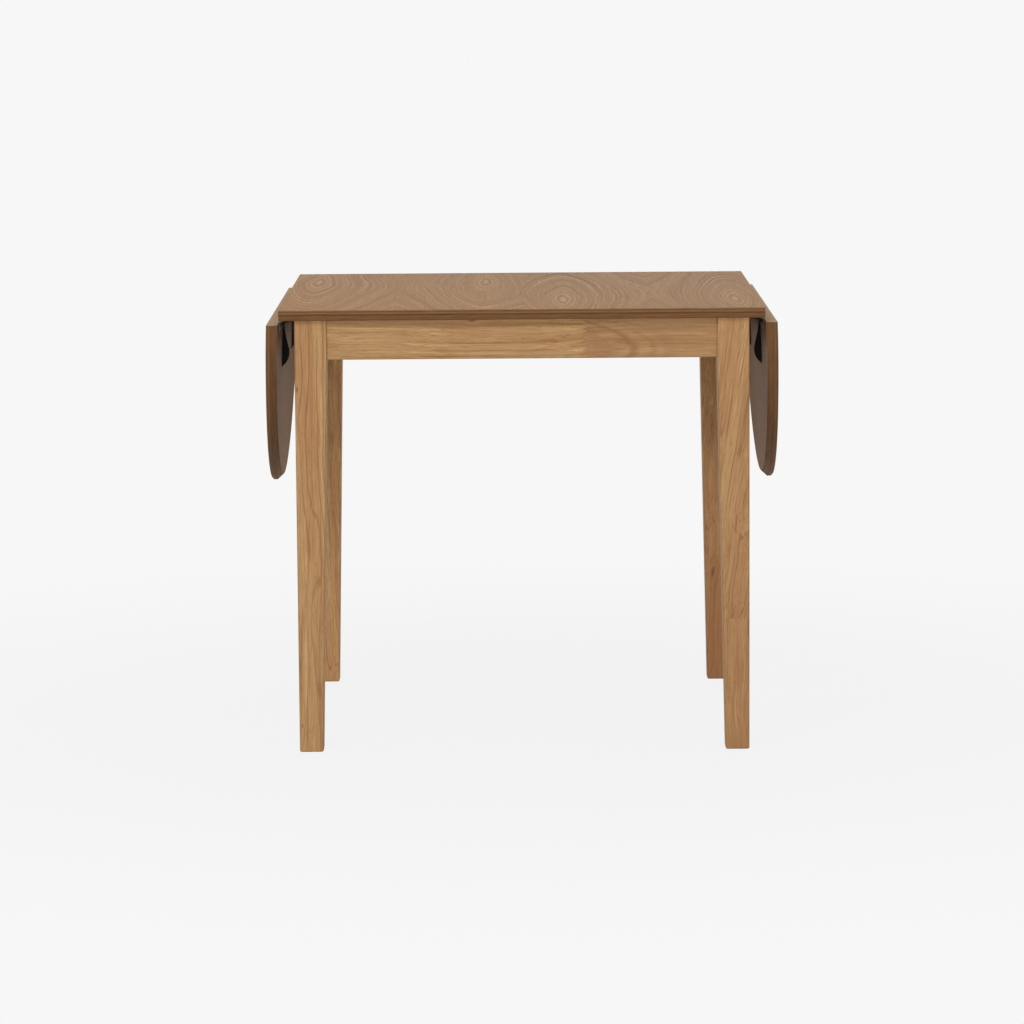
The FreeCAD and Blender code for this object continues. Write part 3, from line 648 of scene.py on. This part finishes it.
APRON_JOINT = Joint(110 * MM, 7 * MM, 9 * MM, 0.35, 0.6)
APRON_ARCH = Arch(187 * MM, 680 * MM, 39.0)
APRON_KNOT = Knot(-83 * MM, 729 * MM, 6 * MM)
LEG_JOINT = Joint(224 * MM, 7 * MM, 0.6 * MM, 0.0, 0.3)
LEG_EDGE_KNOTS = (Knot(616 * MM, -376 * MM, 5 * MM), Knot(45 * MM, -375 * MM, 4 * MM))
REAR_LEG_KNOT = Knot(201 * MM, 350 * MM, 10 * MM)
FRONT_FOOT = Foot(150 * MM, 420 * MM, 0.16)
REAR_FOOT = Foot(20 * MM, 440 * MM, 0.68)
# The rear legs are painted paler: painted light that offsets the shade of the top, so that they show as
# bright as they were measured.
REAR_TONE_PAINTED_LIGHT = 1.30


def dress_frame():
    woods = {
        "front_left_leg": dict(axis="z", seed=1.3, tone=1.04, wave=0.014, knots=LEG_EDGE_KNOTS, rift=True),
        "front_right_leg": dict(axis="z", seed=4.1, tone=1.03, wave=0.045, joint=LEG_JOINT, lean=-0.15,
                                foot=FRONT_FOOT),
        # The rear legs' tone carries painted light against the shade of the top.
        "rear_left_leg": dict(axis="z", seed=7.7, tone=REAR_TONE_PAINTED_LIGHT, wave=0.030, lean=0.03),
        "rear_right_leg": dict(axis="z", seed=9.2, tone=REAR_TONE_PAINTED_LIGHT, wave=0.045, lean=-0.05, foot=REAR_FOOT,
                               knots=(REAR_LEG_KNOT,)),
        "front_apron": dict(axis="x", seed=2.2, tone=0.97, joint=APRON_JOINT, arch=APRON_ARCH,
                            knots=(APRON_KNOT,)),
        "rear_apron": dict(axis="x", seed=5.9),
        "left_apron": dict(axis="y", seed=3.4),
        "right_apron": dict(axis="y", seed=8.1),
    }
    for node, wood in woods.items():
        dress(node, hardwood(node + "_wood", **wood))
    block = sawn_wood("block_wood")
    for node in nodes:
        if node.endswith("corner_block"):
            dress(node, block)


def metal_finishes():
    """The metal materials by the slots of the record that they fill."""
    return {
        # The hinges' nickel carries painted shade.
        "hinge_steel": plated("nickel_plate_painted_shade", NICKEL_PAINTED_SHADE, NICKEL_DULL_PAINTED_SHADE, NICKEL_ROUGHNESS),
        "zinc_steel": plated("zinc_plate", ZINC, ZINC_DULL, ZINC_ROUGHNESS),
        "black_steel": coated("black_coating"),
    }


def dress_metal(finishes):
    for entry in frame["record"]["subparts"]:
        if entry["material_slot"] in finishes:
            dress(entry["node"], finishes[entry["material_slot"]])


BARREL_REACH = 4.5 * MM
CREASE = math.radians(32)


def round_barrels():
    """Shades the hinge barrels as round; their flaps stay flat."""
    for joint in LEAF_HINGES:
        axis = Vector(joint["pos_m"])
        hand = joint["name"].split("_")[0]
        for name in nodes:
            if hand + "_hinge" in name and name.endswith("_flap"):
                mesh = nodes[name].data
                for polygon in mesh.polygons:
                    away = polygon.center - axis
                    away.y = 0
                    polygon.use_smooth = away.length < BARREL_REACH
                mesh.set_sharp_from_angle(angle=CREASE)


# Points that agree to so many decimals of a metre are one point.
SAME_DECIMALS = 6


def solids_of(node):
    """The points of each separate solid of a CAD node."""
    mesh = nodes[node].data
    points = np.array([vertex.co[:] for vertex in mesh.vertices])
    same, index = np.unique(np.round(points, SAME_DECIMALS), axis=0, return_inverse=True)
    index = index.reshape(-1)
    group = list(range(len(same)))

    def root(item):
        while group[item] != item:
            item = group[item]
        return item

    for polygon in mesh.polygons:
        corners = [root(index[vertex]) for vertex in polygon.vertices]
        for corner in corners[1:]:
            group[root(corner)] = root(corners[0])
    roots = [root(item) for item in range(len(same))]
    return [same[[item for item, owner in enumerate(roots) if owner == one]] for one in sorted(set(roots))]


def long_axis(points):
    """The wide end, the unit axis towards it, the length and the largest radius of a long solid."""
    middle = points.mean(axis=0)
    axis = np.linalg.svd(points - middle)[2][0]
    along = (points - middle) @ axis
    radius = np.linalg.norm(points - middle - np.outer(along, axis), axis=1)
    if radius[along > 0].mean() < radius[along < 0].mean():
        axis = -axis
        along = -along
    centre = middle + axis * along.max()
    return Vector(centre), Vector(axis), along.max() - along.min(), radius.max()


def lathe(profile, sides):
    """Points and faces of a turned shape that is open at the top.

    The profile is radius and height pairs from the top down.
    """
    points = []
    for radius, height in profile:
        for step in range(sides):
            angle = math.tau * step / sides
            points.append((radius * math.cos(angle), radius * math.sin(angle), height))
    faces = []
    for ring in range(len(profile) - 1):
        for step in range(sides):
            after = (step + 1) % sides
            faces.append((ring * sides + step, (ring + 1) * sides + step,
                          (ring + 1) * sides + after, ring * sides + after))
    last = (len(profile) - 1) * sides
    faces.append(tuple(last + step for step in reversed(range(sides))))
    return points, faces


def assembled(points, faces):
    """An editable shape from points and faces, and its corners in the order of the points."""
    shape = bmesh.new()
    corners = [shape.verts.new(point) for point in points]
    for face in faces:
        shape.faces.new([corners[corner] for corner in face])
    return shape, corners


def finished(shape):
    """The points and faces of a closed shape, its faces looking out; the shape is freed."""
    bmesh.ops.recalc_face_normals(shape, faces=shape.faces)
    shape.verts.index_update()
    result = ([vertex.co.copy() for vertex in shape.verts],
              [[vertex.index for vertex in face.verts] for face in shape.faces])
    shape.free()
    return result


HEAD_SIDES = 24
HEAD_HEIGHT = 1.8 * MM
# The pan head from its flat top down, as shares of its radius and height.
HEAD_PROFILE = ((0.62, 0), (0.80, 0.12), (0.94, 0.38), (1.0, 0.72), (1.0, 1.0))
SHANK_RADIUS = 1.6 * MM
POINT_LENGTH = 4 * MM
POINT_SHARE = 0.2
RECESS_DEPTH = 1.0 * MM
# The reach and half the width of the arms of the cross recess, as shares of the head's radius.
RECESS_REACH = 0.46
RECESS_HALF_WIDTH = 0.13
RECESS_ARMS = 4


def screw_shape(radius, length):
    """A pan-head wood screw with a cross recess, its head up and the top of it at height 0."""
    profile = [(share * radius, -drop * HEAD_HEIGHT) for share, drop in HEAD_PROFILE]
    profile += [(SHANK_RADIUS, -HEAD_HEIGHT), (SHANK_RADIUS, POINT_LENGTH - length),
                (POINT_SHARE * SHANK_RADIUS, -length)]
    points, faces = lathe(profile, HEAD_SIDES)
    wide, narrow = RECESS_REACH * radius, RECESS_HALF_WIDTH * radius
    arm = ((wide, -narrow), (wide, narrow), (narrow, narrow))
    first = len(points)
    for height in (0, -RECESS_DEPTH):
        for turn in range(RECESS_ARMS):
            for x, y in arm:
                for _ in range(turn):
                    x, y = -y, x
                points.append((x, y, height))
    count = RECESS_ARMS * len(arm)
    for step in range(count):
        after = (step + 1) % count
        faces.append((first + step, first + count + step, first + count + after, first + after))
    faces.append(tuple(first + count + step for step in range(count)))
    shape, corners = assembled(points, faces)
    rims = []
    for start, size in ((0, HEAD_SIDES), (first, count)):
        for step in range(size):
            rims.append(shape.edges.get((corners[start + step], corners[start + (step + 1) % size])))
    bmesh.ops.triangle_fill(shape, edges=rims, use_beauty=True)
    return finished(shape)


THREAD_PITCH = 1.25 * MM
THREAD_SIDES = 18
THREAD_SHARE = 0.84
EASED_SHARE = 0.70


def stud_shape(radius, length):
    """A threaded stud with eased ends, its top at height 0."""
    turns = int(length / THREAD_PITCH)
    quarter = THREAD_PITCH / 4
    profile = [(EASED_SHARE * radius, 0)]
    for turn in range(turns):
        height = -length * (turn + 0.5) / turns
        profile.append((radius, height + quarter))
        profile.append((THREAD_SHARE * radius, height - quarter))
    profile.append((EASED_SHARE * radius, -length))
    points, faces = lathe(profile, THREAD_SIDES)
    faces.append(tuple(range(THREAD_SIDES)))
    return finished(assembled(points, faces)[0])


# The shown fasteners are a little slimmer than the prisms of the CAD, and each is turned on from the last.
SCREW_SLIMNESS = 0.98
STUD_SLIMNESS = 0.96
TURN_ON = 0.9


def make_fasteners(finishes):
    """Real screws and studs in place of the plain prisms of the CAD."""
    for entry in frame["record"]["subparts"]:
        node = entry["node"]
        if node.endswith("_screws"):
            shaped, slimness = screw_shape, SCREW_SLIMNESS
        elif node.endswith("_bolts"):
            shaped, slimness = stud_shape, STUD_SLIMNESS
        else:
            continue
        points = []
        faces = []
        for number, solid in enumerate(solids_of(node)):
            top, axis, length, radius = long_axis(solid)
            own_points, own_faces = shaped(slimness * radius, length)
            twist = Matrix.Rotation(number * TURN_ON, 4, "Z")
            place = Matrix.Translation(top) @ axis.to_track_quat("Z", "Y").to_matrix().to_4x4() @ twist
            first = len(points)
            points += [place @ point for point in own_points]
            faces += [[first + corner for corner in face] for face in own_faces]
        mesh = bpy.data.meshes.new(node + "_shown")
        mesh.from_pydata(points, [], faces)
        mesh.materials.append(finishes[entry["material_slot"]])
        mesh.shade_smooth()
        mesh.set_sharp_from_angle(angle=CREASE)
        piece = bpy.data.objects.new(node + "_shown", mesh)
        bpy.context.scene.collection.objects.link(piece)
        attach(piece, body_of(nodes[node])[0])
        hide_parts(node)


# The photograph's view, as a pinhole camera in front of the table.
CAMERA_PLACE = Vector((-0.0154, -7.3662, 1.3782))
CAMERA_YAW = math.radians(-0.026)
CAMERA_PITCH = math.radians(7.886)
CAMERA_ROLL = math.radians(-0.424)
FOCAL_PIXELS = 4219.62
IMAGE_PIXELS = 1024
SENSOR_WIDTH = 36
FARTHEST_SEEN = 200


def make_camera():
    data = bpy.data.cameras.new("camera")
    data.sensor_width = SENSOR_WIDTH
    data.lens = FOCAL_PIXELS / IMAGE_PIXELS * SENSOR_WIDTH
    data.clip_end = FARTHEST_SEEN
    camera = bpy.data.objects.new("camera", data)
    bpy.context.scene.collection.objects.link(camera)
    forward = Vector((math.sin(CAMERA_YAW) * math.cos(CAMERA_PITCH),
                      math.cos(CAMERA_YAW) * math.cos(CAMERA_PITCH), -math.sin(CAMERA_PITCH)))
    level = Vector((math.cos(CAMERA_YAW), -math.sin(CAMERA_YAW), 0))
    upright = level.cross(forward)
    right = math.cos(CAMERA_ROLL) * level + math.sin(CAMERA_ROLL) * upright
    up = math.cos(CAMERA_ROLL) * upright - math.sin(CAMERA_ROLL) * level
    turn = Matrix((right, up, -forward)).transposed()
    camera.matrix_world = Matrix.Translation(CAMERA_PLACE) @ turn.to_4x4()
    bpy.context.scene.camera = camera


BACKGROUND = srgb(247, 247, 247)
WHITE = (1, 1, 1, 1)
WORLD_LIGHT = 0.31
FLOOR_RADIUS = 30
FLOOR_SIDES = 96
FLOOR_GREY = (0.7, 0.7, 0.7, 1)
# So much of the floor's colour is plain background near the table, and from the far distance on all of it.
FLOOR_GLOW_NEAR = 0.92
FLOOR_NEAR = 0.6
FLOOR_FAR = 2.0


def seen_directly(tree):
    """1 for what the camera sees straight, in a mirror or through glass, else 0."""
    path = tree.nodes.new("ShaderNodeLightPath")
    seen = path.outputs["Is Camera Ray"]
    for name in ("Is Glossy Ray", "Is Transmission Ray"):
        either = tree.nodes.new("ShaderNodeMath")
        either.operation = "MAXIMUM"
        tree.links.new(seen, either.inputs[0])
        tree.links.new(path.outputs[name], either.inputs[1])
        seen = either.outputs[0]
    return seen


def mix_shaders(tree, share, first, second):
    node = tree.nodes.new("ShaderNodeMixShader")
    for output, socket in zip((share, first, second), node.inputs):
        tree.links.new(output, socket)
    return node.outputs[0]


def make_world():
    """A world that lights the table evenly and shows as the plain background."""
    world = bpy.data.worlds.new("studio")
    world.use_nodes = True
    bpy.context.scene.world = world
    tree = world.node_tree
    shown = tree.nodes["Background"]
    shown.inputs["Color"].default_value = BACKGROUND
    light = tree.nodes.new("ShaderNodeBackground")
    light.inputs["Color"].default_value = WHITE
    light.inputs["Strength"].default_value = WORLD_LIGHT
    mixed = mix_shaders(tree, seen_directly(tree), light.outputs[0], shown.outputs[0])
    tree.links.new(mixed, tree.nodes["World Output"].inputs[0])


def make_floor():
    """A pale floor that keeps a faint shadow near the table and runs into the background farther off.

    From below it is clear.
    """
    mesh = bpy.data.meshes.new("floor")
    shape = bmesh.new()
    bmesh.ops.create_circle(shape, cap_ends=True, segments=FLOOR_SIDES, radius=FLOOR_RADIUS)
    shape.to_mesh(mesh)
    shape.free()
    floor = bpy.data.objects.new("floor", mesh)
    bpy.context.scene.collection.objects.link(floor)
    g = Graph("floor", roughness=1.0, specular=0.0)
    tree = g.tree
    g.shader.inputs["Base Color"].default_value = FLOOR_GREY
    glow = tree.nodes.new("ShaderNodeEmission")
    glow.inputs["Color"].default_value = BACKGROUND
    away = g.math("SQRT", g.x * g.x + g.y * g.y)
    share = Flow(g, seen_directly(tree)) * away.smooth(FLOOR_NEAR, FLOOR_FAR, FLOOR_GLOW_NEAR, 1.0)
    above = mix_shaders(tree, share.socket, g.shader.outputs[0], glow.outputs[0])
    clear = tree.nodes.new("ShaderNodeBsdfTransparent")
    geometry = tree.nodes.new("ShaderNodeNewGeometry")
    sided = mix_shaders(tree, geometry.outputs["Backfacing"], above, clear.outputs[0])
    tree.links.new(sided, tree.nodes["Material Output"].inputs[0])
    mesh.materials.append(g.material)


# A large soft square lamp: its side in metres, its power in watts and whether it shows in glossy surfaces.
Lamp = namedtuple("Lamp", "name place side power mirrored")
LAMPS = (
    Lamp("key", Vector((-1.2, -3.5, 3.1)), 1.8, 74, True),
    Lamp("right_fill", Vector((1.6, -4.4, 0.6)), 1.4, 48, True),
    Lamp("left_fill", Vector((-1.6, -4.4, 0.6)), 1.4, 26, True),
    Lamp("overhead", Vector((0, 0.4, 3.6)), 3.0, 13, True),
    Lamp("back", Vector((0.8, 3.6, 2.4)), 2.0, 40, False),
)
LAMP_AIM = Vector((0, 0, 0.5))


def make_lamps():
    for lamp in LAMPS:
        data = bpy.data.lights.new(lamp.name, "AREA")
        data.shape = "SQUARE"
        data.size = lamp.side
        data.energy = lamp.power
        made = bpy.data.objects.new(lamp.name, data)
        made.location = lamp.place
        made.visible_glossy = lamp.mirrored
        made.rotation_mode = "QUATERNION"
        made.rotation_quaternion = (LAMP_AIM - lamp.place).to_track_quat("-Z", "Y")
        bpy.context.scene.collection.objects.link(made)


dress_top()
dress_leaf("left_leaf", -1, 6.0)
dress_leaf("right_leaf", 1, 8.0)
dress_frame()
finishes = metal_finishes()
dress_metal(finishes)
round_barrels()
make_fasteners(finishes)
make_camera()
make_world()
make_floor()
make_lamps()
bpy.context.scene.view_settings.view_transform = "Standard"
